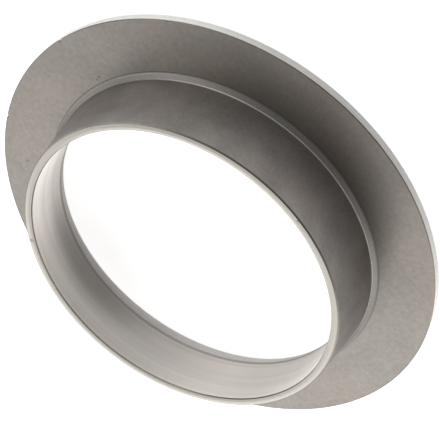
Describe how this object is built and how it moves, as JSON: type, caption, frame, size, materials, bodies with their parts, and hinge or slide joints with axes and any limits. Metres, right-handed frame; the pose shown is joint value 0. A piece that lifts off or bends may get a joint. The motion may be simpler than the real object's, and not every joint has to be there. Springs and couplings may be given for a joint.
{
  "type": "weld-on collar",
  "caption": "Stainless collar with a flat lap for a gasket and loose flange, and a short tapered neck that is butt-welded to a pipe.",
  "frame": {"origin": "centre of the gasket face, on the bore's axis", "axes": "+Z along the bore's axis, from the gasket face towards the weld end; +X and +Y lie in the gasket face and are free, as the collar is round"},
  "size_m": [0.1608, 0.1608, 0.0272],
  "materials": {
    "stainless": "pickled matte stainless plate, with turned rim and weld end"
  },
  "bodies": {
    "root": {"collar": "stainless"}
  },
  "joints": []
}
